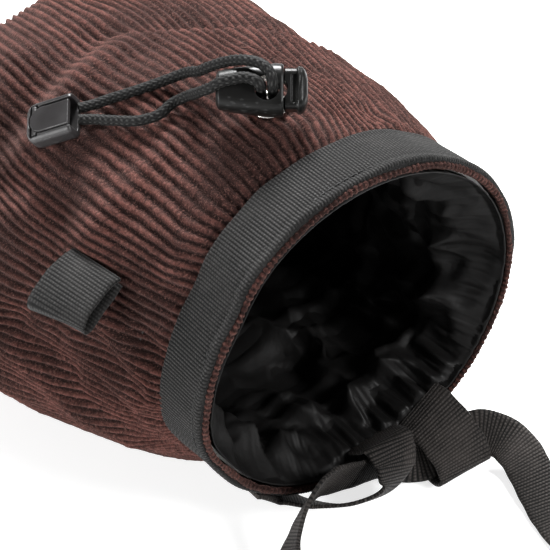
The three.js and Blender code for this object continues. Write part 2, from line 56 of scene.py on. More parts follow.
MOUTH_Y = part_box("rim_webbing")[0].y / MM
RIM_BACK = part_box("rim_webbing")[1].y / MM
BASE_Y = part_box("shell_wall")[1].y / MM
AXIS_Z = 68.0                # height of the mouth's centre
WALES = 130                  # corduroy ridges round the body
CHANNEL_Y = -38.0            # middle of the drawcord channel
CORD_RADIUS = 1.6
WEBBING = 1.4                # thickness of every strap
BELT_WIDTH = 15.0
LOOP_WIDTH = 20.0
SIDE_LOOP_WIDTH = 22.0
RIM_WIDTH = 20.0
BODY_ROUND = 70.0            # mean radius of the body, which turns degrees into arc length
POINTS_PER_WALE = 6
CLOTH_THICKNESS = 1.4
FLOOR_GAP = 0.15             # the cloth's outer face stays this far above the floor


# ---- Camera, floor and light ----
def make_camera():
    target = Vector((-0.0358, -0.080, 0.10786))
    azimuth, elevation = math.radians(-37.87), math.radians(38.04)
    back = Vector((math.sin(azimuth) * math.cos(elevation),
                   -math.cos(azimuth) * math.cos(elevation), math.sin(elevation)))
    data = bpy.data.cameras.new("camera")
    data.lens = 114.97
    data.sensor_width = 36
    data.clip_start = 0.01
    camera = bpy.data.objects.new("camera", data)
    camera.location = target + back * 0.5
    camera.rotation_mode = "QUATERNION"
    camera.rotation_quaternion = (-back).to_track_quat("-Z", "Y")
    bpy.context.scene.collection.objects.link(camera)
    bpy.context.scene.camera = camera


def area_light(name, place, target, size, power):
    data = bpy.data.lights.new(name, "AREA")
    data.shape = "DISK"
    data.size = size
    data.energy = power
    light = bpy.data.objects.new(name, data)
    light.location = place
    light.rotation_mode = "QUATERNION"
    light.rotation_quaternion = (Vector(target) - Vector(place)).to_track_quat("-Z", "Y")
    bpy.context.scene.collection.objects.link(light)


def make_studio():
    """A white floor that gives light of its own, a dim surround and three soft lights."""
    bpy.context.scene.view_settings.view_transform = "Standard"
    bpy.ops.mesh.primitive_plane_add(size=8, location=(0, 0, -0.0002))
    floor = bpy.context.object
    floor.name = "floor"
    paint = bpy.data.materials.new("floor")
    paint.use_nodes = True
    shader = paint.node_tree.nodes["Principled BSDF"]
    shader.inputs["Base Color"].default_value = (0.55, 0.55, 0.55, 1)
    shader.inputs["Roughness"].default_value = 0.9
    shader.inputs["Emission Color"].default_value = (1, 1, 1, 1)
    shader.inputs["Emission Strength"].default_value = 0.72
    floor.data.materials.append(paint)
    world = bpy.data.worlds.new("studio")
    world.use_nodes = True
    world.node_tree.nodes["Background"].inputs[0].default_value = (1, 1, 1, 1)
    world.node_tree.nodes["Background"].inputs[1].default_value = 0.22
    bpy.context.scene.world = world
    centre = (-0.02, -0.03, 0.07)
    area_light("key", (0.35, 0.5, 0.95), centre, 0.35, 44)
    area_light("left", (-0.95, 0.05, 0.2), centre, 0.5, 12)
    area_light("front", (0.3, -1.0, 0.75), centre, 0.4, 16)


# ---- Mesh helpers ----
def add_object(name, points, faces, smooth=True):
    mesh = bpy.data.meshes.new(name)
    mesh.from_pydata((np.asarray(points, float) * MM).tolist(), [], faces)
    mesh.polygons.foreach_set("use_smooth", [smooth] * len(mesh.polygons))
    mesh.update()
    obj = bpy.data.objects.new(name, mesh)
    bpy.context.scene.collection.objects.link(obj)
    return obj


def grid_faces(rows, columns, wrap_rows=False, wrap_columns=False, start=0):
    i = np.arange(rows if wrap_rows else rows - 1)[:, None]
    j = np.arange(columns if wrap_columns else columns - 1)[None, :]
    a = i * columns + j
    b = i * columns + (j + 1) % columns
    c = (i + 1) % rows * columns + (j + 1) % columns
    d = (i + 1) % rows * columns + j
    return (np.stack([a, b, c, d], -1).reshape(-1, 4) + start).tolist()


def tube_faces(rings, sides, start=0):
    """The faces of a closed tube: its wall and its two flat ends."""
    ends = [list(range(start, start + sides))[::-1]]
    ends.append([start + (rings - 1) * sides + k for k in range(sides)])
    return grid_faces(rings, sides, wrap_columns=True, start=start) + ends


def face_outwards(mesh):
    shape = bmesh.new()
    shape.from_mesh(mesh)
    bmesh.ops.recalc_face_normals(shape, faces=shape.faces)
    shape.to_mesh(mesh)
    shape.free()


def set_cloth(obj, coordinates):
    """Cloth coordinates, across and along the weave, for the materials."""
    attribute = obj.data.attributes.new("cloth", "FLOAT_VECTOR", "POINT")
    attribute.data.foreach_set("vector", np.asarray(coordinates, np.float32).ravel())


def finish_piece(obj, material, body=BODY, replaces=()):
    obj.data.materials.clear()
    obj.data.materials.append(material)
    face_outwards(obj.data)
    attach(obj, body)
    if replaces:
        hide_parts(*replaces)
    return obj


def unit(v):
    v = np.asarray(v, float)
    return v / np.maximum(np.linalg.norm(v, axis=-1, keepdims=True), 1e-12)


def smooth_noise(*coordinates, octaves=3, seed=0):
    """A sum of seeded sine waves in the given coordinates, about -1 to 1, smooth and cheap on arrays."""
    random = np.random.default_rng(seed)
    total = np.zeros(np.broadcast(*coordinates).shape)
    weight = 0.0
    for octave in range(octaves):
        amplitude = 0.55 ** octave
        for _ in range(5):
            direction = unit(random.normal(size=len(coordinates)))
            wave = sum(d * c for d, c in zip(direction, coordinates)) * 2 ** octave
            total += amplitude * np.sin(2 * np.pi * wave + random.uniform(0, 2 * np.pi))
        weight += amplitude * 5 ** 0.5
    return total / weight


# ---- The body's outer surface, read from the frame ----
def read_surface():
    points, faces = [], []
    for name in ("shell_wall", "rim_webbing"):
        mesh = NODES[name].data
        start = len(points)
        points += [v.co / MM for v in mesh.vertices]
        faces += [tuple(start + k for k in polygon.vertices) for polygon in mesh.polygons]
    tree = BVHTree.FromPolygons(points, faces)
    angles = np.arange(360)
    depths = np.concatenate([np.arange(MOUTH_Y + 0.5, RIM_BACK, 2.0),
                             np.arange(RIM_BACK + 4.5, BASE_Y, 2.0)])
    reach = np.zeros((len(depths), len(angles)))
    for i, y in enumerate(depths):
        for j, angle in enumerate(np.radians(angles)):
            way = Vector((math.cos(angle), 0, math.sin(angle)))
            hit = tree.ray_cast(Vector((0, y, AXIS_Z)) + way * 200, -way)
            reach[i, j] = 200 - hit[3]
    beside = (np.roll(reach, 9, axis=1) + np.roll(reach, -9, axis=1)) / 2
    reach = np.where(reach < beside - 1.5, beside, reach)       # the eyelet's hole
    offsets = np.arange(-12, 13)
    kernel = np.exp(-(offsets / 4.5) ** 2)
    reach = sum(w * np.roll(reach, o, axis=1) for w, o in zip(kernel / kernel.sum(), offsets))
    return depths, reach


DEPTHS, REACH = read_surface()


def body_radius(angle, y):
    """Distance of the outer surface from the mouth's axis, for arrays of angles in degrees and depths."""
    angle, y = np.broadcast_arrays(np.asarray(angle, float) % 360, np.asarray(y, float))
    row = np.interp(y, DEPTHS, np.arange(len(DEPTHS)))
    i = np.minimum(row.astype(int), len(DEPTHS) - 2)
    f = row - i
    j = angle.astype(int) % 360
    g = angle - np.floor(angle)
    k = (j + 1) % 360
    return ((REACH[i, j] * (1 - g) + REACH[i, k] * g) * (1 - f)
            + (REACH[i + 1, j] * (1 - g) + REACH[i + 1, k] * g) * f)


def body_point(angle, y, lift=0.0):
    r = body_radius(angle, y)
    a = np.radians(angle)
    y = np.broadcast_to(np.asarray(y, float), r.shape)
    point = np.stack([r * np.cos(a), y, AXIS_Z + r * np.sin(a)], -1)
    return point + body_normal(angle, y) * np.asarray(lift)[..., None]


def body_normal(angle, y):
    def at(angle, y):
        r = body_radius(angle, y)
        a = np.radians(angle)
        return np.stack([r * np.cos(a), np.broadcast_to(y, r.shape), AXIS_Z + r * np.sin(a)], -1)
    angle, y = np.broadcast_arrays(np.asarray(angle, float), np.asarray(y, float))
    around = at(angle + 2, y) - at(angle - 2, y)
    along = at(angle, np.minimum(y + 2, BASE_Y)) - at(angle, np.maximum(y - 2, MOUTH_Y))
    return unit(np.cross(along, around))


# ---- Curves ----
def centripetal(points, per_segment):
    """Centripetal Catmull-Rom curve through the points."""
    p = np.asarray(points, float)
    p = np.vstack([2 * p[0] - p[1], p, 2 * p[-1] - p[-2]])
    result = []
    for i in range(1, len(p) - 2):
        a, b, c = (np.sqrt(np.linalg.norm(p[k + 1] - p[k])) for k in (i - 1, i, i + 1))
        out = ((p[i] - p[i - 1]) / a - (p[i + 1] - p[i - 1]) / (a + b) + (p[i + 1] - p[i]) / b) * b
        into = ((p[i + 1] - p[i]) / b - (p[i + 2] - p[i]) / (b + c) + (p[i + 2] - p[i + 1]) / c) * b
        t = np.linspace(0, 1, per_segment, endpoint=False)[:, None]
        result.append((2 * t**3 - 3 * t**2 + 1) * p[i] + (t**3 - 2 * t**2 + t) * out
                      + (3 * t**2 - 2 * t**3) * p[i + 1] + (t**3 - t**2) * into)
    return np.vstack([*result, p[-2:-1]])


def arc_lengths(points):
    return np.concatenate([[0], np.cumsum(np.linalg.norm(np.diff(points, axis=0), axis=1))])


def resample(points, step, *others):
    """The curve and the values that go with it at even steps, and the distance along it."""
    s = arc_lengths(points)
    at = np.linspace(0, s[-1], max(int(round(s[-1] / step)), 2) + 1)
    spread = [np.stack([np.interp(at, s, v[:, k]) for k in range(v.shape[1])], -1)
              for v in (points, *others)]
    return (at, *spread)


def carried_frames(points):
    """Two directions square to the curve at each point, carried along it without twist."""
    along = unit(np.gradient(points, axis=0))
    side = unit(np.cross(along[0], (0.3, 0.2, 1.0)))
    sides = []
    for t in along:
        side = unit(side - t * (side @ t))
        sides.append(side)
    sides = np.array(sides)
    return sides, np.cross(along, sides)


# ---- Straps ----
RIB_PITCH = 1.15
ROWS_PER_RIB = 5
POINTS_ACROSS = 12


def strap(name, points, across, width, wave=0.15, seed=1):
    """Ribbed webbing along a curve: points and the directions of its width, at even steps."""
    s, points, across = resample(points, RIB_PITCH / ROWS_PER_RIB, across)
    along = unit(np.gradient(points, axis=0))
    across = unit(across - along * (across * along).sum(-1, keepdims=True))
    face = np.cross(across, along)
    half = width / 2
    profile = []
    for side in (1, -1):
        for w in np.linspace(side, -side, POINTS_ACROSS):
            profile.append((w * (half - 0.25), side))
        profile.append((-side * half, 0))
    profile = np.array(profile)
    sway = wave * smooth_noise(s / 40, octaves=2, seed=seed)
    rib = np.abs(np.cos(np.pi * s / RIB_PITCH)) - 0.6
    rows = []
    for w, side in profile:
        edge = min(1.0, (half - abs(w)) / 1.0)
        selvedge = 0.14 * math.exp(-(((half - 1.1 - abs(w)) / 0.7) ** 2))
        thick = side * (WEBBING / 2 - 0.12 + selvedge) + side * 0.17 * rib * edge
        wander = w + 0.12 * smooth_noise(s / 9 + w, octaves=1, seed=seed + 3)
        rows.append(points + across * wander[:, None] + face * (thick + sway * 0.4)[:, None])
    grid = np.stack(rows, 1)
    obj = add_object(name, grid.reshape(-1, 3), tube_faces(*grid.shape[:2]))
    cloth = np.zeros(grid.shape)
    cloth[..., 0] = s[:, None] / RIB_PITCH
    cloth[..., 1] = profile[:, 0]
    set_cloth(obj, cloth.reshape(-1, 3))
    return obj, points


def spread_stations(rows, per_segment=14):
    """A list of (point, width direction) made into a curve and the directions along it."""
    points = centripetal([row[0] for row in rows], per_segment)
    across = np.array([unit(row[1]) for row in rows])
    at = np.linspace(0, len(rows) - 1, len(points))
    across = np.stack([np.interp(at, np.arange(len(rows)), across[:, k]) for k in range(3)], -1)
    padded = np.pad(across, ((per_segment, per_segment), (0, 0)), mode="edge")
    kernel = np.hanning(2 * per_segment + 1)
    across = np.stack([np.convolve(padded[:, k], kernel / kernel.sum(), "valid") for k in range(3)], -1)
    return points, across


# Stations of each strap: its middle, and the direction of its width.
BELT_LOOP_RIGHT = [
    ((25.4, -78.4, 22.8), (0.87, 0, 0.5)), ((25.6, -81, 22.7), (0.87, 0, 0.5)),
    ((25.8, -84, 22.4), (0.88, 0, 0.47)), ((27.2, -91, 18.6), (0.9, -0.06, 0.4)),
    ((28.8, -97.2, 12), (0.94, -0.14, 0.28)), ((29.4, -99, 6.6), (0.95, -0.16, 0.22)),
    ((29.8, -95, 2.6), (0.95, -0.1, 0.08)), ((30.4, -87.4, 3.1), (0.95, -0.06, 0.16)),
    ((31.2, -80, 7.6), (0.9, 0, 0.42)), ((32, -72, 12.2), (0.86, 0, 0.5)),
    ((32.1, -64, 12.2), (0.86, 0, 0.5)),
]
BELT_LOOP_LEFT = [
    ((5.6, -66, 16.2), (1, 0, 0.1)), ((5.6, -75, 16.4), (1, 0, 0.1)), ((5.5, -80.5, 20), (1, 0.02, 0.04)),
    ((5.4, -86.6, 23), (0.98, 0.1, -0.12)), ((4.4, -92, 18), (0.97, 0.18, -0.18)),
    ((0, -93, 11.4), (0.83, 0.31, -0.47)), ((-12, -89.6, 8.6), (0.34, 0.53, -0.78)),
    ((-22, -81, 8), (0.2, 0.79, -0.58)), ((-31, -72.4, 12.8), (0.12, 0.99, -0.09)),
    ((-38.9, -70, 19.8), (0, 1, 0)), ((-42.2, -70, 22.2), (0, 1, 0)),
]
SIDE_LOOP_ROUTE = [
    (-64.2, -29.6, 94.6), (-68.2, -30.1, 93.9), (-73.5, -30.8, 91.6), (-78.8, -31.6, 87.8),
    (-81, -32, 84.4), (-79.2, -31.9, 82.4), (-75, -31.2, 85), (-69.5, -30.4, 88.8), (-64.4, -29.6, 92.4),
]
SIDE_LOOP = [(point, (0.31, -0.95, 0.05)) for point in SIDE_LOOP_ROUTE]
BELT_MIDDLE = [
    ((36, -90.2, 10.9), (0, 0.66, 0.75)), ((29, -89.2, 10.4), (0, 0.66, 0.75)),
    ((20, -88.2, 8.5), (0, 0.57, 0.82)), ((15.5, -87, 8.7), (0, 0.2, 0.98)),
    ((10, -85.7, 11.8), (0, -0.15, 0.99)), ((5, -85.5, 13.2), (0, -0.28, 0.96)),
    ((0.4, -85.5, 14), (0, -0.3, 0.95)),
]
BELT_LEFT = [
    ((-5, -85.4, 15), (0, -0.3, 0.95)), ((-10, -85.4, 16.4), (0, -0.3, 0.95)),
    ((-15, -85.9, 18.6), (0, -0.3, 0.95)), ((-21, -87.2, 21.6), (-0.03, -0.35, 0.93)),
    ((-28.6, -89.8, 22.8), (-0.07, -0.42, 0.88)), ((-34.6, -92, 19.6), (-0.05, -0.45, 0.88)),
    ((-39, -94.2, 15.8), (0, -0.45, 0.88)), ((-43.4, -97, 12.2), (0.25, -0.42, 0.85)),
    ((-48.6, -102, 9.4), (0.4, -0.35, 0.82)), ((-58, -114, 8.4), (0.2, -0.15, 0.95)),
    ((-70, -129.2, 8.5), (0, 0, 1)), ((-81, -143.6, 8.5), (0, 0, 1)),
]
BELT_RIGHT = [
    ((42, -91.4, 10.8), (0.1, 0.55, 0.82)), ((46.4, -94.4, 9.4), (0.5, 0.45, 0.74)),
    ((48.6, -98.8, 8.2), (0.78, 0.25, 0.57)), ((48.2, -105, 7.6), (0.86, 0, 0.5)),
    ((46.2, -112, 6.4), (0.9, -0.15, 0.42)), ((43.6, -120, 4.2), (0.93, -0.24, 0.28)),
    ((40.6, -129, 2.3), (0.95, -0.3, 0.1)), ((38.2, -139, 2.6), (0.97, -0.2, 0.12)),
    ((37.4, -152, 5.8), (0.8, -0.05, 0.6)), ((39.4, -166, 8.2), (0.35, 0, 0.94)),
    ((44.6, -180, 8.5), (0, 0, 1)), ((51.6, -194.6, 8.5), (0, 0, 1)), ((54.5, -203, 8.5), (0, 0, 1)),
]
ROLL_PITCH = 6.5
ROLL_STATIONS = 16           # stations in each turn of the roll
ROLL_MIDDLE_Z = 11.4
HALVES = [("left", BELT_LEFT, BELT_MIDDLE[-1], 1, "buckle_female"),
          ("right", BELT_RIGHT, BELT_MIDDLE[0], -1, "buckle_male")]


def roll_stations(centre, lead_end, turn):
    """Stations of the roll: inwards from the lead's end, then round the buckle's bar and back."""
    start = np.array(lead_end) - centre
    angle = math.atan2(start[1], start[0])
    radius = math.hypot(start[0], start[1])
    inner = math.radians(210 if turn > 0 else -30)
    sweep = (turn * (inner - angle)) % (2 * math.pi) + 4 * math.pi
    turns = sweep / (2 * math.pi)
    count = int(turns * ROLL_STATIONS)
    rows = []
    buckle_z = centre[2]
    for k in range(1, count + 1):
        part = k / count
        r = radius - ROLL_PITCH * turns * part
        a = angle + turn * sweep * part
        rise = np.interp(part, [0.6, 1], [lead_end[2], buckle_z])
        rows.append(((centre[0] + r * math.cos(a), centre[1] + r * math.sin(a), rise), (0, 0, 1)))
    over, out = 4.3, 0.8
    inward = [(-14.6, -17.6), (-8.4, -21), (-3, -20.4), (-out, -17.4), (-out, -14), (-out, -11.6),
              (-over, -10), (-over, -7.6), (-3, -5.7), (0, -5), (3, -5.7), (over, -7.6), (over, -10),
              (out, -11.6), (out, -17.2)]
    for x, y in inward:
        rows.append(((centre[0] + turn * x, centre[1] + y, buckle_z), (0, 0, 1)))
    return rows


def make_belt(webbing):
    """The belt behind the pouch and its two halves, whose paths and lengths are given back."""
    cords = []
    obj, _ = strap("belt_behind_pouch", *spread_stations(BELT_MIDDLE), BELT_WIDTH, seed=5)
    finish_piece(obj, webbing, replaces=["belt_middle"])
    for side, lead, start, turn, buckle in HALVES:
        low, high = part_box(f"belt_coil_{side}")
        middle = (low + high) / 2 / MM
        centre = np.array([middle.x, middle.y, ROLL_MIDDLE_Z])
        rows = [start, *lead, *roll_stations(centre, lead[-1][0], turn)]
        obj, path = strap(f"belt_half_{side}", *spread_stations(rows, 10), BELT_WIDTH, seed=11 + turn)
        finish_piece(obj, webbing,
                     replaces=[f"belt_{side}", f"belt_coil_{side}", f"belt_hem_{side}"])
        ends = [f"{buckle}_moulding"] + (["prong_lower", "prong_upper"] if side == "right" else [])
        cords.append((obj, path[::4] * MM, arc_lengths(path)[-1] * MM, ends))
    return cords


def make_loops(webbing, ribbed):
    for name, rows, node in (("loop_right", BELT_LOOP_RIGHT, "belt_loop_right"),
                             ("loop_left", BELT_LOOP_LEFT, "belt_loop_left")):
        obj, _ = strap(name, *spread_stations(rows), LOOP_WIDTH, wave=0.05, seed=21)
        finish_piece(obj, ribbed, replaces=[node])
    obj, _ = strap("loop_side", *spread_stations(SIDE_LOOP), SIDE_LOOP_WIDTH, wave=0.05, seed=23)
    finish_piece(obj, webbing, replaces=["side_loop"])


# ---- Cords ----
BRAID_PITCH = 1.9
BRAID_STRANDS = 8
UPPER_STRAND = [
    (-10.6, -46.5, 144.5), (-11.3, -47.4, 145.6), (-11.3, -47.2, 147.4), (-10.8, -45.3, 149),
    (-11, -42.9, 150.1), (-12, -40, 150.4), (-13.3, -36.8, 149.9), (-14.3, -32.3, 148),
    (-15.6, -27.7, 145.4), (-16.9, -23.1, 142.2), (-17.5, -18.9, 139), (-17.6, -15.2, 137.2),
    (-18.6, -12, 135.2), (-22.4, -8.6, 132.8), (-27.2, -5.5, 130.7), (-32.2, -2.5, 128.9),
    (-37.1, 1, 126.9), (-40.7, 2.7, 125.8), (-44, 4.2, 125.2), (-45.9, 4.9, 125.1),
]
LOWER_STRAND = [
    (-13.3, -44.4, 144.5), (-14, -45.3, 145.6), (-14.8, -44.7, 147), (-16, -43, 147.7),
    (-17.6, -41.3, 147.9), (-19.3, -40.1, 147.5), (-21.3, -38.6, 147), (-23.1, -37, 145.9),
    (-24.6, -35, 143.9), (-25.2, -31.5, 141.3), (-24.3, -26.5, 137.5), (-23.4, -22.8, 135),
    (-24.4, -20.2, 132.9), (-26.6, -18.2, 131.1), (-31.6, -17.6, 128.5), (-34.6, -15.8, 127.3),
    (-37.4, -13.1, 126.2), (-39.8, -8.6, 125), (-41.6, -5.6, 124.3), (-44, -1.6, 123.6),
    (-46.2, 0.4, 123.4), (-48.1, 1.7, 123.4),
]


def braided(name, route, radius=CORD_RADIUS, step=0.3, sides=40):
    """A braided cord along a route: strands of two hands that pass over and under each other."""
    s, points = resample(centripetal(route, 12), step)
    side, other = carried_frames(points)
    angle = np.linspace(0, 2 * np.pi, sides, endpoint=False)
    u = BRAID_STRANDS * angle[None, :] / (2 * np.pi) + s[:, None] / BRAID_PITCH
    v = BRAID_STRANDS * angle[None, :] / (2 * np.pi) - s[:, None] / BRAID_PITCH
    first_on_top = (np.floor(u) + np.floor(v)) % 2 < 1
    profile = np.where(first_on_top, np.sin(np.pi * (u % 1)) * (0.6 + 0.4 * np.sin(np.pi * (v % 1))),
                       np.sin(np.pi * (v % 1)) * (0.6 + 0.4 * np.sin(np.pi * (u % 1))))
    reach = radius - 0.26 + 0.38 * profile
    ring = side[:, None] * np.cos(angle)[None, :, None] + other[:, None] * np.sin(angle)[None, :, None]
    grid = points[:, None] + ring * reach[..., None]
    obj = add_object(name, grid.reshape(-1, 3), tube_faces(len(points), sides))
    set_cloth(obj, np.stack([u, v, profile], -1).reshape(-1, 3))
    return obj, points


def node_points(name):
    return np.array([v.co[:] for v in NODES[name].data.vertices]) / MM


def node_frame(name, outward):
    """Centre and axis of a round node, the axis on the outward side."""
    points = node_points(name)
    centre = points.mean(0)
    axis = np.linalg.svd(points - centre)[2][2]
    return centre, axis * (1 if axis @ np.asarray(outward) > 0 else -1)


# The cord lock: along its plunger, out of its front, and its middle.
LOCK_ALONG = unit((0.789, -0.614, 0))
LOCK_FRONT = unit((-0.456, -0.586, 0.669))
LOCK_CENTRE = np.array((-13.5, -38.5, 140.4))
CORD_OFFSET = 1.75           # each cord's distance from the middle of the lock's hole
CHANNEL_SINK = 5.0           # how far the cord in the channel lies under the wall's outer face


def make_cords(cord):
    """The free strands, the cord in the channel and the knot. Gives back the strands' paths and lengths."""
    cords = []
    plug = ["cord_end_tray", "cord_end_panel", "cord_end_knot"]
    for name, route, node in (("strand_upper", UPPER_STRAND, "cord_strand_upper"),
                              ("strand_lower", LOWER_STRAND, "cord_strand_lower")):
        obj, path = braided(name, route)
        finish_piece(obj, cord, replaces=[node])
        ends = plug if name == "strand_upper" else []
        cords.append((obj, path[::3] * MM, arc_lengths(path)[-1] * MM, ends))
    centre, axis = node_frame("eyelet_washer", (0, 0, 1))
    x = unit(LOCK_ALONG - axis * (LOCK_ALONG @ axis))

    def lead(side, end):
        rising = ((6.4, -2.8), (4, -2.8), (2.3, -2.2),
                  (CORD_OFFSET, -0.2), (CORD_OFFSET, 2.1), (CORD_OFFSET, 4.1))
        rows = [centre + axis * height + x * side * spread for spread, height in rising]
        hole = LOCK_CENTRE + LOCK_ALONG * (5.5 + side * CORD_OFFSET)
        rows += [hole + LOCK_FRONT * front for front in (-6.4, -2, 2)]
        return rows + [np.array(end)]
    angles = np.arange(82, -253, -13.36)
    ring = list(body_point(angles, np.full(len(angles), CHANNEL_Y), np.full(len(angles), -CHANNEL_SINK)))
    route = lead(1, UPPER_STRAND[0])[::-1] + ring + lead(-1, LOWER_STRAND[0])
    obj, _ = braided("cord_in_channel", route, step=0.42, sides=32)
    finish_piece(obj, cord, replaces=["drawcord"])
    low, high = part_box("cord_knot")
    middle = np.array((low + high) / 2) / MM
    points = node_points("cord_knot")
    directions = np.linalg.svd(points - points.mean(0))[2]
    t = np.linspace(0, 2 * np.pi, 40)
    u, v, w = np.sin(t) + 2 * np.sin(2 * t), np.cos(t) - 2 * np.cos(2 * t), -0.6 * np.sin(3 * t)
    knot = np.stack([u, v, w], -1) * 0.85
    obj, _ = braided("cord_end_knot", middle + knot @ directions, radius=0.75, step=0.2, sides=20)
    finish_piece(obj, cord, replaces=["cord_knot"])
    return cords


# ---- Corduroy ----
# Folds pressed into the body: points of (angle in degrees, depth), height and half width.
FOLDS = [
    ([(170, -34), (173.5, -43), (178, -51), (184, -58.5)], 3.2, 5.0),
    ([(164, -32), (168.6, -43.3), (173.8, -56)], -2.6, 5.0),
    ([(181, -26), (184.5, -36.6), (189.5, -50)], 2.0, 5.0),
    ([(185.4, 3.6), (190.6, -20.4), (197.4, -43.2)], -2.6, 6.0),
    ([(186, 20), (190, 4), (197.5, -17.4), (204.6, -32.6), (209, -42)], 3.2, 6.0),
    ([(176, -6), (186, 0), (193, 8)], -1.6, 4.0),
    ([(109.2, 35.4), (121.5, 33), (137.2, 30.4), (148, 31)], -4.0, 9.0),
    ([(105.8, 20.5), (124.4, 21.1), (142, 20)], 2.2, 7.0),
    ([(107, -24), (125, -27), (144, -25), (160, -20)], 1.8, 6.0),
    ([(112, -52), (130, -53), (150, -53)], 1.2, 4.0),
    ([(152, -8), (150, 6), (156, 20)], -2.6, 6.0),
    ([(66, -50), (70, -30), (74, -12)], -1.2, 5.0),
    ([(330, -30), (345, 0), (350, 30)], -1.8, 6.0),
    ([(10, -45), (20, -10), (16, 30)], 1.4, 7.0),
    ([(230, 60), (215, 40), (200, 36)], 1.6, 5.0),
    ([(150, 70), (160, 50), (165, 40)], -1.6, 7.0),
]
# The bag buckles across its top: the crest of the crease as (angle in degrees, depth).
CREASE = [(30, -21), (50, -12), (63, -7.2), (67.4, -3), (83, 7.6), (98, 19.5), (111, 39), (123, 62)]
CREASE_DROP = 8.0


def fold_height(angle, y):
    """Height of all the folds at angles in degrees and depths."""
    total = np.zeros(np.broadcast(angle, y).shape)
    arc = np.radians(angle) * BODY_ROUND
    for line, height, width in FOLDS:
        nearest = np.full(total.shape, np.inf)
        line = np.array([(math.radians(a) * BODY_ROUND, depth) for a, depth in line])
        for a, b in zip(line[:-1], line[1:]):
            way = b - a
            t = np.clip(((arc - a[0]) * way[0] + (y - a[1]) * way[1]) / (way @ way), 0, 1)
            gap = (arc - a[0] - t * way[0]) ** 2 + (y - a[1] - t * way[1]) ** 2
            nearest = np.minimum(nearest, gap)
        total += height * np.exp(-nearest / width ** 2)
    crease = np.array(CREASE)
    behind = y - np.interp(angle, crease[:, 0], crease[:, 1])
    window = np.clip((angle - 25) / 20, 0, 1) * np.clip((114 - angle) / 34, 0, 1)
    past = np.maximum(behind, 0)
    drop = -CREASE_DROP * (1 - np.exp(-past / 3.5)) * np.exp(-(past / 15) ** 2)
    crest = 0.7 * np.exp(-(behind / 7) ** 2)
    return total + window * (drop + crest)


def lumps(angle, y):
    """Soft unevenness of the cloth, larger away from the stiff rim."""
    a = np.radians(angle)
    free = np.clip((y - RIM_BACK) / 25, 0, 1) * np.clip((BASE_Y + 4 - y) / 12, 0.2, 1)
    broad = smooth_noise(np.cos(a) * 1.1, np.sin(a) * 1.1, y / 80, octaves=2, seed=3)
    fine = smooth_noise(np.cos(a) * 3.2, np.sin(a) * 3.2, y / 30, octaves=2, seed=4)
    pucker = smooth_noise(np.cos(a) * 6, np.sin(a) * 6, octaves=2, seed=9)
    pucker = np.exp(-((y - RIM_BACK - 4) / 7) ** 2) * pucker
    resting = np.clip((np.sin(a) + 0.75) / 0.3, 0, 1)
    return resting * (free * (1.3 * broad + 0.55 * fine) + 0.7 * pucker)


def wale_angle(wale):
    """The ridges are drawn closer together low on the left, where the cloth is slack."""
    angles = np.arange(361)
    density = 1 + 0.55 * np.exp(-((angles - 208) / 34) ** 4) - 0.45 * np.exp(-((angles - 286) / 38) ** 4)
    share = np.concatenate([[0], np.cumsum((density[1:] + density[:-1]) / 2)])
    return np.interp(wale % WALES, share / share[-1] * WALES, angles) % 360


def make_wall(corduroy):
    """The body's wall: ridges that run front to back over folds, creases and soft lumps."""
    wale = np.arange(WALES * POINTS_PER_WALE) / POINTS_PER_WALE
    y = np.concatenate([[RIM_BACK - 1.6, RIM_BACK - 0.6], np.arange(RIM_BACK + 0.2, BASE_Y - 1.6, 1.5),
                        [BASE_Y - 0.8, BASE_Y]])
    wale, y = np.meshgrid(wale, y)
    a = wale / WALES * 2 * np.pi
    wander = (0.9 * smooth_noise(np.cos(a) * 0.9, np.sin(a) * 0.9, y / 110, octaves=2, seed=12)
              + 0.06 * smooth_noise(np.cos(a) * 6, np.sin(a) * 6, y / 16, octaves=2, seed=13))
    settled = np.clip((y - RIM_BACK) / 10, 0, 1)
    angle = wale_angle(wale + wander * settled)
    ridge = 0.5 - 0.5 * np.cos(2 * np.pi * (wale % 1))
    strength = 0.85 + 0.25 * smooth_noise(np.cos(a) * 5, np.sin(a) * 5, y / 22, octaves=2, seed=15)
    strength += 0.45 * np.exp(-((angle - 194) / 20) ** 2)
    tuck = -1.5 * np.clip((RIM_BACK + 3.2 - y) / 3.4, 0, 1)
    tuck = tuck - 1.4 * np.clip((y - BASE_Y + 3) / 3, 0, 1) ** 2
    held = np.exp(-((y - CHANNEL_Y) / 15) ** 6)
    soft = (fold_height(angle, y) + lumps(angle, y)) * np.clip((BASE_Y - y) / 14, 0, 1)
    soft = np.maximum(soft, -0.35 - 9 * (1 - held)) + tuck
    rough = 0.08 * RNG.normal(size=angle.shape)
    outer = body_point(angle, y, soft + 1.2 * strength * (ridge - 0.5) + rough)
    inner = body_point(angle[::6], y[::6], soft[::6] - CLOTH_THICKNESS)
    last = body_point(angle[-1:], y[-1:], soft[-1:] - CLOTH_THICKNESS)
    inner = np.vstack([inner, last])[::-1]
    outer[..., 2] = np.maximum(outer[..., 2], FLOOR_GAP)
    inner[..., 2] = np.maximum(inner[..., 2], 0.9)
    grid = np.vstack([outer, inner])
    obj = add_object("corduroy_wall", grid.reshape(-1, 3), grid_faces(*grid.shape[:2], True, True))
    cloth = np.stack([wale, y, ridge], -1)
    set_cloth(obj, np.vstack([cloth, cloth[:len(inner)]]).reshape(-1, 3))
    finish_piece(obj, corduroy, replaces=["shell_wall"])


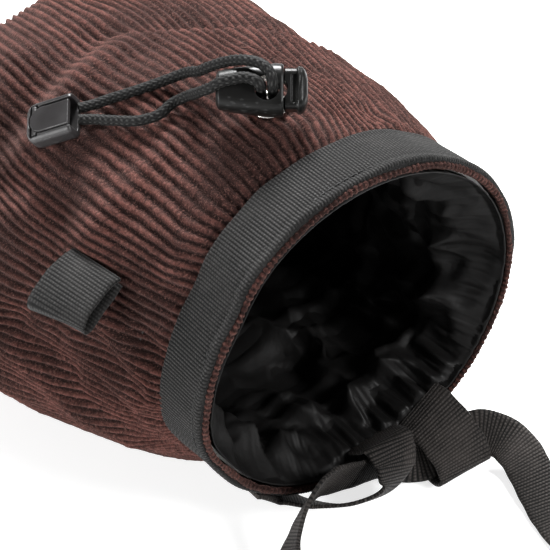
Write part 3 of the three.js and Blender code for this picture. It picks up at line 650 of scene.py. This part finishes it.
def make_base(corduroy):
    """The closed end: a panel cut from the same cloth, its ridges standing upright."""
    angles = np.arange(360)
    edge = body_point(angles, np.full(360, BASE_Y - 1.0), np.full(360, -1.2))
    x_low, x_high = edge[:, 0].min() + 0.02, edge[:, 0].max() - 0.02
    pitch = 3.2
    x = np.linspace(x_low, x_high, int((x_high - x_low) / pitch * POINTS_PER_WALE))
    turned = np.roll(edge, -edge[:, 0].argmax(), axis=0)
    leftmost = turned[:, 0].argmin()
    upper, lower = turned[:leftmost + 1], np.vstack([turned[leftmost:], turned[:1]])
    middle = np.interp(x, [x_low, x_high], [edge[edge[:, 0].argmin(), 2], edge[edge[:, 0].argmax(), 2]])
    top = np.interp(x, *upper[upper[:, 0].argsort()][:, [0, 2]].T)
    bottom = np.interp(x, *lower[lower[:, 0].argsort()][:, [0, 2]].T)
    top, bottom = np.maximum(top, middle), np.minimum(bottom, middle)
    t = np.linspace(0, 1, 70)[:, None]
    z = bottom + (top - bottom) * (0.5 - 0.5 * np.cos(np.pi * t))
    x = np.broadcast_to(x, z.shape)
    angle = np.degrees(np.arctan2(z - AXIS_Z, x)) % 360
    share = np.hypot(x, z - AXIS_Z) / body_radius(angle, BASE_Y - 1.0)
    wale = x / pitch
    ridge = np.sin(np.pi * (wale % 1)) ** 0.75
    inside = np.clip((0.97 - share) / 0.06, 0, 1)
    dome = 3.2 * (1 - np.clip(share, 0, 1) ** 5) * (z / 70).clip(0, 1)
    sag = 1.2 * smooth_noise(x / 60, z / 60, octaves=2, seed=31) * inside
    y = BASE_Y - 0.9 + dome + sag + 0.6 * ridge * inside
    front = np.stack([x, y, z], -1)
    back = np.stack([x, y - 1.6, z], -1)[::-1]
    grid = np.vstack([front, back])
    faces = grid_faces(*grid.shape[:2], wrap_rows=True)
    rows, count = grid.shape[:2]
    faces += [[r * count + c for r in range(rows)][::1 if c else -1] for c in (0, count - 1)]
    obj = add_object("corduroy_base", grid.reshape(-1, 3), faces)
    cloth = np.stack([np.broadcast_to(wale, front.shape[:2]), z, ridge], -1)
    set_cloth(obj, np.vstack([cloth, cloth[::-1]]).reshape(-1, 3))
    finish_piece(obj, corduroy, replaces=["shell_base"])


# ---- Rim ----
def make_rim(webbing, corduroy, thread):
    """The webbing round the mouth, with its stitches and the cloth's turned edge."""
    ribs = 340
    rib = np.arange(ribs * ROWS_PER_RIB) / ROWS_PER_RIB
    y = np.concatenate([[0, 0.25], np.linspace(0.8, 19.2, 24), [19.75, RIM_WIDTH]]) + MOUTH_Y
    lift = np.concatenate([[-0.75, -0.2], np.zeros(24), [-0.25, -0.8]])
    rib, y = np.meshgrid(rib, y)
    angle = rib / ribs * 360
    a = np.radians(angle)
    depth = y - MOUTH_Y
    stitched = -0.3 * np.exp(-((depth - 3.4) / 0.5) ** 2)
    wave = 0.35 * smooth_noise(np.cos(a) * 2, np.sin(a) * 2, depth / 60, octaves=2, seed=41)
    weave_and_groove_shade = 0.26 * np.abs(np.cos(np.pi * rib))
    weave_and_groove_shade = weave_and_groove_shade + 0.06 * np.cos(2 * np.pi * depth / 1.6 + np.pi * np.floor(rib))
    selvedge = 0.2 * (np.exp(-((depth - 1.2) / 0.8) ** 2) + np.exp(-((depth - 18.8) / 0.8) ** 2))
    tops = lift[:, None] + stitched + wave + weave_and_groove_shade + selvedge + 0.2
    outer = body_point(angle, y, tops)
    edge_sway = 0.25 * smooth_noise(np.cos(a[0]) * 3, np.sin(a[0]) * 3, octaves=2, seed=43)
    outer[..., 1] += edge_sway
    back = [-1, 13, 0]
    inner = body_point(angle[back], y[back], np.full(tops[back].shape, -1.5))
    outer[..., 2] = np.maximum(outer[..., 2], 0.1)
    grid = np.vstack([outer, inner])
    obj = add_object("rim_band", grid.reshape(-1, 3), grid_faces(*grid.shape[:2], True, True))
    cloth = np.zeros(grid.shape)
    cloth[:len(outer)] = np.stack([rib, depth, depth * 0], -1)
    set_cloth(obj, cloth.reshape(-1, 3))
    finish_piece(obj, webbing, replaces=["rim_webbing"])
    make_stitches("rim_stitches", MOUTH_Y + 3.4, thread)
    make_fold(corduroy)


def make_stitches(name, y, thread):
    """A row of thread stitches sunk in the band."""
    pitch, rings, sides = 2.9, 7, 6
    around = np.linspace(0, 360, 4000)
    path = body_point(around, np.full(around.shape, y), np.full(around.shape, 0.08))
    length = arc_lengths(path)
    count = int(length[-1] / pitch)
    points, faces = [], []
    for k in range(count):
        s = length[-1] * (k + np.linspace(0.09, 0.91, rings)) / count
        line = np.stack([np.interp(s, length, path[:, c]) for c in range(3)], -1)
        along = unit(line[-1] - line[0])
        side = np.array((0, 1.0, 0))
        up = unit(np.cross(side, along))
        for i, centre in enumerate(line):
            swell = math.sin(math.pi * (i + 0.35) / 6.7)
            thick, drop = 0.24 * swell ** 0.5, -0.1 * (1 - swell)
            for t in np.linspace(0, 2 * np.pi, sides, endpoint=False):
                points.append(centre + thick * (side * math.cos(t) + up * math.sin(t)) + up * drop)
        faces += tube_faces(rings, sides, start=len(points) - rings * sides)
    obj = add_object(name, np.array(points), faces)
    finish_piece(obj, thread)


def make_fold(corduroy):
    """The edge of the body's cloth, turned over the mouth: its ridges wrap round it."""
    columns = WALES * POINTS_PER_WALE
    wale = np.arange(columns) / POINTS_PER_WALE
    angle = wale / WALES * 360
    a = np.radians(angle)
    around = np.linspace(0, 2 * np.pi, 18, endpoint=False)
    width = 0.85 + 0.2 * smooth_noise(np.cos(a) * 3, np.sin(a) * 3, octaves=2, seed=51)
    sink = -2.2 + 0.2 * smooth_noise(np.cos(a) * 2, np.sin(a) * 2, octaves=2, seed=52)
    tooth = np.sin(np.pi * (wale * 1.5 % 1)) ** 2
    bump = 0.55 * tooth + 0.14 * RNG.normal(size=columns)
    grid = []
    for t in around:
        lift = sink + (width + bump * 0.6) * math.cos(t)
        y = MOUTH_Y - 0.2 - (0.8 + bump * 0.6) * math.sin(t)
        point = body_point(angle, np.full(columns, MOUTH_Y + 0.6), lift)
        point[:, 1] = y
        grid.append(point)
    grid = np.array(grid)
    obj = add_object("mouth_fold", grid.reshape(-1, 3), grid_faces(*grid.shape[:2], True, True))
    cloth = np.stack(np.broadcast_arrays(wale[None, :], around[:, None] * 3, 0.75 * tooth[None, :]), -1)
    set_cloth(obj, cloth.reshape(-1, 3))
    finish_piece(obj, corduroy, replaces=["mouth_binding"])


# ---- Liner ----
def liner_inset(y):
    return np.interp(y, [MOUTH_Y, MOUTH_Y + 4, -52, CHANNEL_Y, -20, 70], [3.7, 4.6, 10.4, 10.8, 10.6, 9.8])


def sharp(wave):
    """A smooth wave turned into a crisp crest wherever it crosses zero."""
    return 1 - np.abs(wave) * 1.6


def make_liner(nylon):
    """The lining: gathered at the rim, folded loosely behind it and bunched over the belt loops."""
    columns = 540
    y = np.concatenate([np.arange(MOUTH_Y - 0.4, -50, 0.7), np.arange(-50, 66, 1.4), [68, 69.6]])
    angle, y = np.meshgrid(np.arange(columns) / columns * 360, y)
    a = np.radians(angle)
    depth = y - MOUTH_Y
    long_folds = smooth_noise(np.cos(a) * 1.4, np.sin(a) * 1.4, y / 90, octaves=3, seed=61)
    cross_folds = smooth_noise(np.cos(a) * 1.1, np.sin(a) * 1.1, y / 42, octaves=3, seed=62)
    loose = np.clip((depth - 1) / 16, 0, 1) * np.clip((70 - y) / 14, 0, 1)
    big = loose * (5.5 * sharp(long_folds) + 5 * sharp(cross_folds) + 3 * long_folds)
    gathers = smooth_noise(np.cos(a) * 9, np.sin(a) * 9, depth / 60, octaves=2, seed=63)
    tight = smooth_noise(np.cos(a) * 16, np.sin(a) * 16, depth / 30, octaves=2, seed=64)
    near = np.exp(-((depth - 9) / 9) ** 2)
    gathered = 0.45 + 0.55 * np.clip(np.cos(a - 5.4), 0, 1)
    small = near * (1.1 * gathers + 0.6 * sharp(tight)) + 0.5 * np.exp(-(depth / 2) ** 2) * tight
    small = gathered * small
    least = np.interp(y, [RIM_BACK, RIM_BACK + 2, -49, -27, -10], [4.5, 6, 8.7, 8.7, 5.5])
    inset = np.maximum(liner_inset(y) + np.maximum(big, -0.6) + small + 0.5, least + 0.25 * small)
    bunched = np.exp(-((angle - 288) / 31) ** 6) * np.clip((depth - 0.3) / 2.2, 0, 1)
    bunched = bunched * np.exp(-((depth - 6) / 16) ** 4)
    inset = np.maximum(inset, inset * (1 - bunched) + bunched * (9.6 + 0.8 * gathers + 1.2 * small))
    outer = body_point(angle, np.maximum(y, MOUTH_Y + 0.5), -inset)
    outer[..., 1] = y
    inner = body_point(angle[::5], np.maximum(y[::5], MOUTH_Y + 0.5), -inset[::5] + 0.3)[::-1]
    inner[..., 1] = y[::5][::-1]
    grid = np.vstack([outer, inner])
    obj = add_object("liner", grid.reshape(-1, 3), grid_faces(*grid.shape[:2], True, True))
    finish_piece(obj, nylon, replaces=["liner_wall"])


def make_liner_base(nylon):
    angles = np.arange(0, 360, 1.5)
    t = np.linspace(0, 1, 48)[:, None]
    edge = body_point(angles, np.full(angles.shape, 69.5), np.full(angles.shape, -9.8))
    centre = edge.mean(0)
    flat = centre + (edge[None] - centre) * t[..., None]
    wrinkle = smooth_noise(flat[..., 0] / 55, flat[..., 2] / 55, octaves=3, seed=71)
    flat[..., 1] = 70.4 - 3.0 * (1 - t ** 3) * (0.5 + 0.5 * wrinkle)
    back = flat[::-1].copy()
    back[..., 1] += 0.3
    grid = np.vstack([flat, back])[1:-1]
    obj = add_object("liner_end", grid.reshape(-1, 3), grid_faces(*grid.shape[:2], wrap_columns=True))
    shape = bmesh.new()
    shape.from_mesh(obj.data)
    bmesh.ops.holes_fill(shape, edges=[e for e in shape.edges if e.is_boundary])
    shape.to_mesh(obj.data)
    shape.free()
    finish_piece(obj, nylon, replaces=["liner_base"])


# ---- Mouldings ----
def refined(node, name, material, body=BODY, soften=0.2, cutters=()):
    """The CAD solid remeshed finely, any recesses cut, and its edges softened as a moulding's are."""
    mesh = NODES[node].data.copy()
    mesh.name = name
    shape = bmesh.new()
    shape.from_mesh(mesh)
    bmesh.ops.remove_doubles(shape, verts=shape.verts, dist=2e-6)
    shape.to_mesh(mesh)
    shape.free()
    obj = bpy.data.objects.new(name, mesh)
    bpy.context.scene.collection.objects.link(obj)
    for cutter in cutters:
        part = obj.modifiers.new("cut", "BOOLEAN")
        part.object = cutter
        part.solver = "EXACT"
    fine = obj.modifiers.new("fine", "REMESH")
    fine.mode = "VOXEL"
    fine.voxel_size = 0.17 * MM
    round_off = obj.modifiers.new("soften", "SMOOTH")
    round_off.factor = 0.5
    round_off.iterations = int(soften / 0.035)
    fewer = obj.modifiers.new("fewer", "DECIMATE")
    fewer.ratio = 0.4
    graph = bpy.context.evaluated_depsgraph_get()
    final = bpy.data.meshes.new_from_object(obj.evaluated_get(graph))
    obj.modifiers.clear()
    obj.data = final
    final.polygons.foreach_set("use_smooth", [True] * len(final.polygons))
    for cutter in cutters:
        bpy.data.objects.remove(cutter)
    return finish_piece(obj, material, body, [node])


def pill_cutter(origin, x, y, z, length, width, depth):
    """A pill-shaped recess: its long way along y, cut along z."""
    outline = []
    for end, start in ((1, 0), (-1, math.pi)):
        for t in np.linspace(start, start + math.pi, 10):
            outline.append((width / 2 * math.cos(t), end * (length - width) / 2 + width / 2 * math.sin(t)))
    points = [origin + x * u + y * v + z * w for w in (-depth, depth) for u, v in outline]
    n = len(outline)
    faces = grid_faces(2, n, wrap_columns=True) + [list(range(n))[::-1], list(range(n, 2 * n))]
    cutter = add_object("cutter", np.array(points), faces, smooth=False)
    face_outwards(cutter.data)
    return cutter


def make_lock(plastic, nickel):
    """The cord lock's two mouldings and the eyelet's rolled flange."""
    up = np.cross(LOCK_FRONT, LOCK_ALONG)
    refined("lock_body", "lock_barrel", plastic, soften=0.25)
    cap = LOCK_CENTRE + LOCK_ALONG * 13.3 + LOCK_FRONT * 4.3
    groove = pill_cutter(cap, LOCK_ALONG, up, LOCK_FRONT, 8.6, 1.3, 0.7)
    refined("lock_plunger", "lock_button", plastic, "lock_plunger", 0.25, [groove])
    centre, axis = node_frame("eyelet_flange", (0, 0, 1))
    points = node_points("eyelet_flange") - centre
    height = points @ axis
    top = height.max()
    radial = np.linalg.norm(points - height[:, None] * axis, axis=1).max()
    side = unit(np.cross(axis, (0, 1, 0)))
    other = np.cross(axis, side)
    arc = np.linspace(-0.25 * np.pi, 1.05 * np.pi, 14)
    profile = [(3.95, height.min()), (3.95, top - 0.7)]
    profile += [(5.1 - 1.15 * math.cos(math.pi - t), top - 0.75 + 0.75 * math.sin(t))
                for t in arc[::-1]]
    profile += [(4.5, top - 0.85), (4.5, height.min())]
    columns = 96
    turn = np.linspace(0, 2 * np.pi, columns, endpoint=False)
    around = [side * math.cos(t) + other * math.sin(t) for t in turn]
    grid = np.array([[centre + axis * h + way * min(r, radial) for way in around] for r, h in profile])
    obj = add_object("eyelet", grid.reshape(-1, 3), grid_faces(*grid.shape[:2], True, True))
    finish_piece(obj, nickel, replaces=["eyelet_flange"])


def make_cord_end(plastic):
    refined("cord_end_base", "cord_end_tray", plastic, soften=0.3)
    refined("cord_end_cover", "cord_end_panel", plastic, "cord_end_cover", 0.22)


def make_buckles(plastic):
    refined("buckle_female", "buckle_female_moulding", plastic, soften=0.35)
    refined("buckle_male", "buckle_male_moulding", plastic, soften=0.35)
    refined("buckle_prong_lower", "prong_lower", plastic, "buckle_prong_lower", 0.35)
    refined("buckle_prong_upper", "prong_upper", plastic, "buckle_prong_upper", 0.35)


# ---- Materials ----
class Paint:
    """A Principled material and short ways to add nodes to it."""

    def __init__(self, name, **constants):
        self.material = bpy.data.materials.new(name)
        self.material.use_nodes = True
        self.tree = self.material.node_tree
        self.shader = self.tree.nodes["Principled BSDF"]
        for socket, value in constants.items():
            self.shader.inputs[socket.replace("_", " ")].default_value = value
        self.place = self.add("ShaderNodeTexCoord").outputs["Object"]

    def add(self, kind, inputs=None, **settings):
        node = self.tree.nodes.new(kind)
        for key, value in settings.items():
            setattr(node, key, value)
        for key, value in (inputs or {}).items():
            self.put(value, node.inputs[key])
        return node

    def put(self, value, socket):
        if isinstance(value, bpy.types.NodeSocket):
            self.tree.links.new(value, socket)
        else:
            socket.default_value = value

    def math(self, operation, a, b=0.0, clamp=False):
        return self.add("ShaderNodeMath", {0: a, 1: b}, operation=operation, use_clamp=clamp).outputs[0]

    def noise(self, scale, detail=3, roughness=0.55, place=None):
        inputs = {"Vector": place or self.place, "Scale": scale, "Detail": detail, "Roughness": roughness}
        return self.add("ShaderNodeTexNoise", inputs).outputs["Fac"]

    def mix(self, factor, a, b):
        node = self.add("ShaderNodeMix", {0: factor, 6: a, 7: b}, data_type="RGBA")
        return node.outputs[2]

    def spread(self, value, low, high, to_low=0.0, to_high=1.0):
        return self.add("ShaderNodeMapRange", {0: value, 1: low, 2: high, 3: to_low, 4: to_high}).outputs[0]

    def cloth(self):
        vector = self.add("ShaderNodeAttribute", attribute_name="cloth").outputs["Vector"]
        return self.add("ShaderNodeSeparateXYZ", {0: vector}).outputs

    def bump(self, height, distance, strength=1.0, after=None):
        inputs = {"Height": height, "Distance": distance, "Strength": strength}
        if after is not None:
            inputs["Normal"] = after
        return self.add("ShaderNodeBump", inputs).outputs[0]

    def finish(self, colour, roughness=None, normal=None):
        self.put(colour, self.shader.inputs["Base Color"])
        if roughness is not None:
            self.put(roughness, self.shader.inputs["Roughness"])
        if normal is not None:
            self.put(normal, self.shader.inputs["Normal"])
        return self.material


def paint_corduroy():
    p = Paint("corduroy", Sheen_Weight=0.14, Sheen_Roughness=0.5, Sheen_Tint=(0.85, 0.5, 0.44, 1),
              Specular_IOR_Level=0.08)
    ridge = p.cloth()[2]
    fibre = p.noise(1500, 4, 0.7)
    tuft = p.noise(560, 3, 0.65)
    patch = p.noise(24, 4, 0.65)
    # Painted shade: the valleys between the wales get a near-black colour that stands in for the shade
    # falling between the ridges, and the crowns keep the pile's colour.
    crown_vs_valley_shade = p.spread(ridge, 0.2, 0.9)
    crown_vs_valley_shade = p.math("MULTIPLY", crown_vs_valley_shade, p.spread(tuft, 0.34, 0.6, 0.25, 1.15), clamp=True)
    pile = p.mix(p.spread(patch, 0.42, 0.58), (0.02, 0.0074, 0.006, 1), (0.082, 0.0315, 0.0255, 1))
    colour = p.mix(crown_vs_valley_shade, (0.0045, 0.0018, 0.0016, 1), pile)
    colour = p.mix(p.spread(fibre, 0.54, 0.72, 0, 0.6), colour, (0.2, 0.1, 0.083, 1))
    colour = p.mix(p.spread(fibre, 0.46, 0.3, 0, 0.8), colour, (0.004, 0.0016, 0.0015, 1))
    normal = p.bump(fibre, 0.0006, 0.9)
    normal = p.bump(tuft, 0.0007, 0.6, normal)
    return p.finish(colour, p.spread(fibre, 0.2, 0.8, 0.8, 1.0), normal)


def paint_webbing(name, light, dark):
    p = Paint(name, Sheen_Weight=0.03, Sheen_Roughness=0.4, Specular_IOR_Level=0.2)
    x, y = p.cloth()[:2]
    rib = p.math("ABSOLUTE", p.math("COSINE", p.math("MULTIPLY", x, math.pi)))
    shift = p.math("MULTIPLY", p.math("FLOOR", p.math("ADD", x, 0.5)), math.pi)
    yarn = p.math("COSINE", p.math("ADD", p.math("MULTIPLY", y, 2 * math.pi / 1.1), shift))
    fibre = p.noise(1600, 3, 0.6)
    # Partly the weave's own pattern of ribs and yarns, and partly painted shade: the grooves between the
    # ribs are made near black, standing in for the shade in them.
    weave_and_groove_shade = p.math("MULTIPLY", p.spread(rib, 0.35, 0.92), p.spread(yarn, -1, 1, 0.4, 1))
    weave_and_groove_shade = p.math("MULTIPLY", weave_and_groove_shade, p.spread(fibre, 0.3, 0.68, 0.3, 1.3), clamp=True)
    colour = p.mix(weave_and_groove_shade, dark, light)
    worn = p.noise(60, 3, 0.6)
    colour = p.mix(p.spread(worn, 0.45, 0.75, 0, 0.3), colour, tuple(1.6 * c for c in light[:3]) + (1,))
    normal = p.bump(weave_and_groove_shade, 0.0002, 0.8)
    normal = p.bump(fibre, 0.0002, 0.4, normal)
    return p.finish(colour, p.spread(weave_and_groove_shade, 0, 1, 0.85, 0.55), normal)


def paint_nylon():
    p = Paint("nylon", Specular_IOR_Level=0.17)
    inputs = {"Vector": p.place, "Scale": 900.0, "Distortion": 0.6}
    fine = p.add("ShaderNodeTexWave", inputs, bands_direction="Y")
    cloud = p.noise(60, 4, 0.6)
    crumple = p.noise(150, 4, 0.6)
    colour = p.mix(cloud, (0.003, 0.0029, 0.0027, 1), (0.0085, 0.008, 0.008, 1))
    normal = p.bump(crumple, 0.0012, 0.35)
    normal = p.bump(fine.outputs["Fac"], 0.00005, 0.3, normal)
    return p.finish(colour, p.spread(cloud, 0.3, 0.7, 0.46, 0.62), normal)


def paint_cord():
    p = Paint("cord", Specular_IOR_Level=0.16)
    u, v, height = p.cloth()
    parity = p.math("FLOORED_MODULO", p.math("ADD", p.math("FLOOR", u), p.math("FLOOR", v)), 2.0)
    strand = p.mix(parity, (0.0055, 0.0056, 0.0054, 1), (0.022, 0.022, 0.0208, 1))
    fibre = p.noise(2200, 3, 0.6)
    # Painted shade: where the strands dip between each other the colour goes near black, standing in for
    # the shade in those gaps.
    colour = p.mix(p.spread(height, 0.35, 0.9), (0.0012, 0.0012, 0.0012, 1), strand)
    colour = p.mix(p.spread(fibre, 0.58, 0.78, 0, 0.22), colour, (0.09, 0.09, 0.088, 1))
    return p.finish(colour, p.spread(fibre, 0.3, 0.7, 0.55, 0.8), p.bump(fibre, 0.0002, 0.4))


def paint_plastic(name, colour, roughness, shine):
    p = Paint(name, Specular_IOR_Level=shine)
    grain = p.noise(1900, 3, 0.5)
    cloud = p.noise(140, 3, 0.5)
    edge = p.spread(p.add("ShaderNodeNewGeometry").outputs["Pointiness"], 0.5, 0.56)
    worn = p.math("MULTIPLY", edge, p.spread(cloud, 0.35, 0.65, 0.15, 0.5))
    shade = p.mix(cloud, colour, tuple(1.4 * c for c in colour[:3]) + (1,))
    shade = p.mix(worn, shade, (0.045, 0.045, 0.045, 1))
    gloss = p.spread(cloud, 0.3, 0.7, roughness - 0.06, roughness + 0.08)
    return p.finish(shade, gloss, p.bump(grain, 0.00008, 0.35))


def paint_metal(name, colour, roughness):
    p = Paint(name, Metallic=1.0)
    brushed = p.add("ShaderNodeMapping", {"Vector": p.place, "Scale": (300, 2600, 2600)}).outputs[0]
    scratch = p.noise(1.0, 3, 0.6, place=brushed)
    shade = p.mix(p.spread(scratch, 0.4, 0.6), tuple(0.85 * c for c in colour[:3]) + (1,), colour)
    gloss = p.spread(scratch, 0.3, 0.7, roughness, roughness + 0.12)
    return p.finish(shade, gloss, p.bump(scratch, 0.00003, 0.3))


def build():
    make_camera()
    make_studio()
    corduroy = paint_corduroy()
    webbing = paint_webbing("rim_webbing", (0.019, 0.018, 0.0172, 1), (0.0006, 0.0006, 0.0006, 1))
    ribbed = paint_webbing("belt_webbing", (0.042, 0.036, 0.033, 1), (0.0009, 0.0009, 0.0008, 1))
    nylon = paint_nylon()
    cord = paint_cord()
    black = paint_plastic("black_plastic", (0.0032, 0.0032, 0.003, 1), 0.36, 0.18)
    grey = paint_plastic("grey_plastic", (0.0105, 0.0096, 0.0099, 1), 0.42, 0.42)
    hoop = paint_plastic("hoop_plastic", (0.6, 0.6, 0.58, 1), 0.5, 0.4)
    nickel = paint_metal("nickel", (0.78, 0.76, 0.72, 1), 0.12)
    steel = paint_metal("spring_steel", (0.12, 0.12, 0.12, 1), 0.35)
    thread = paint_webbing("thread", (0.02, 0.02, 0.02, 1), (0.004, 0.004, 0.004, 1))
    finishes = {"corduroy": corduroy, "webbing": webbing, "ribbed_webbing": ribbed, "tape": webbing,
                "nylon": nylon, "cord": cord, "black_plastic": black, "grey_plastic": grey,
                "hoop_plastic": hoop, "nickel": nickel, "spring_steel": steel}
    for part in frame["record"]["subparts"]:
        slots = NODES[part["node"]].data.materials
        slots.clear()
        slots.append(finishes[part["material_slot"]])
    strands = make_cords(cord)
    belt_halves = make_belt(ribbed)
    make_loops(webbing, ribbed)
    make_rim(webbing, corduroy, thread)
    make_wall(corduroy)
    make_base(corduroy)
    make_liner(nylon)
    make_liner_base(nylon)
    make_lock(black, nickel)
    make_cord_end(grey)
    make_buckles(black)


build()
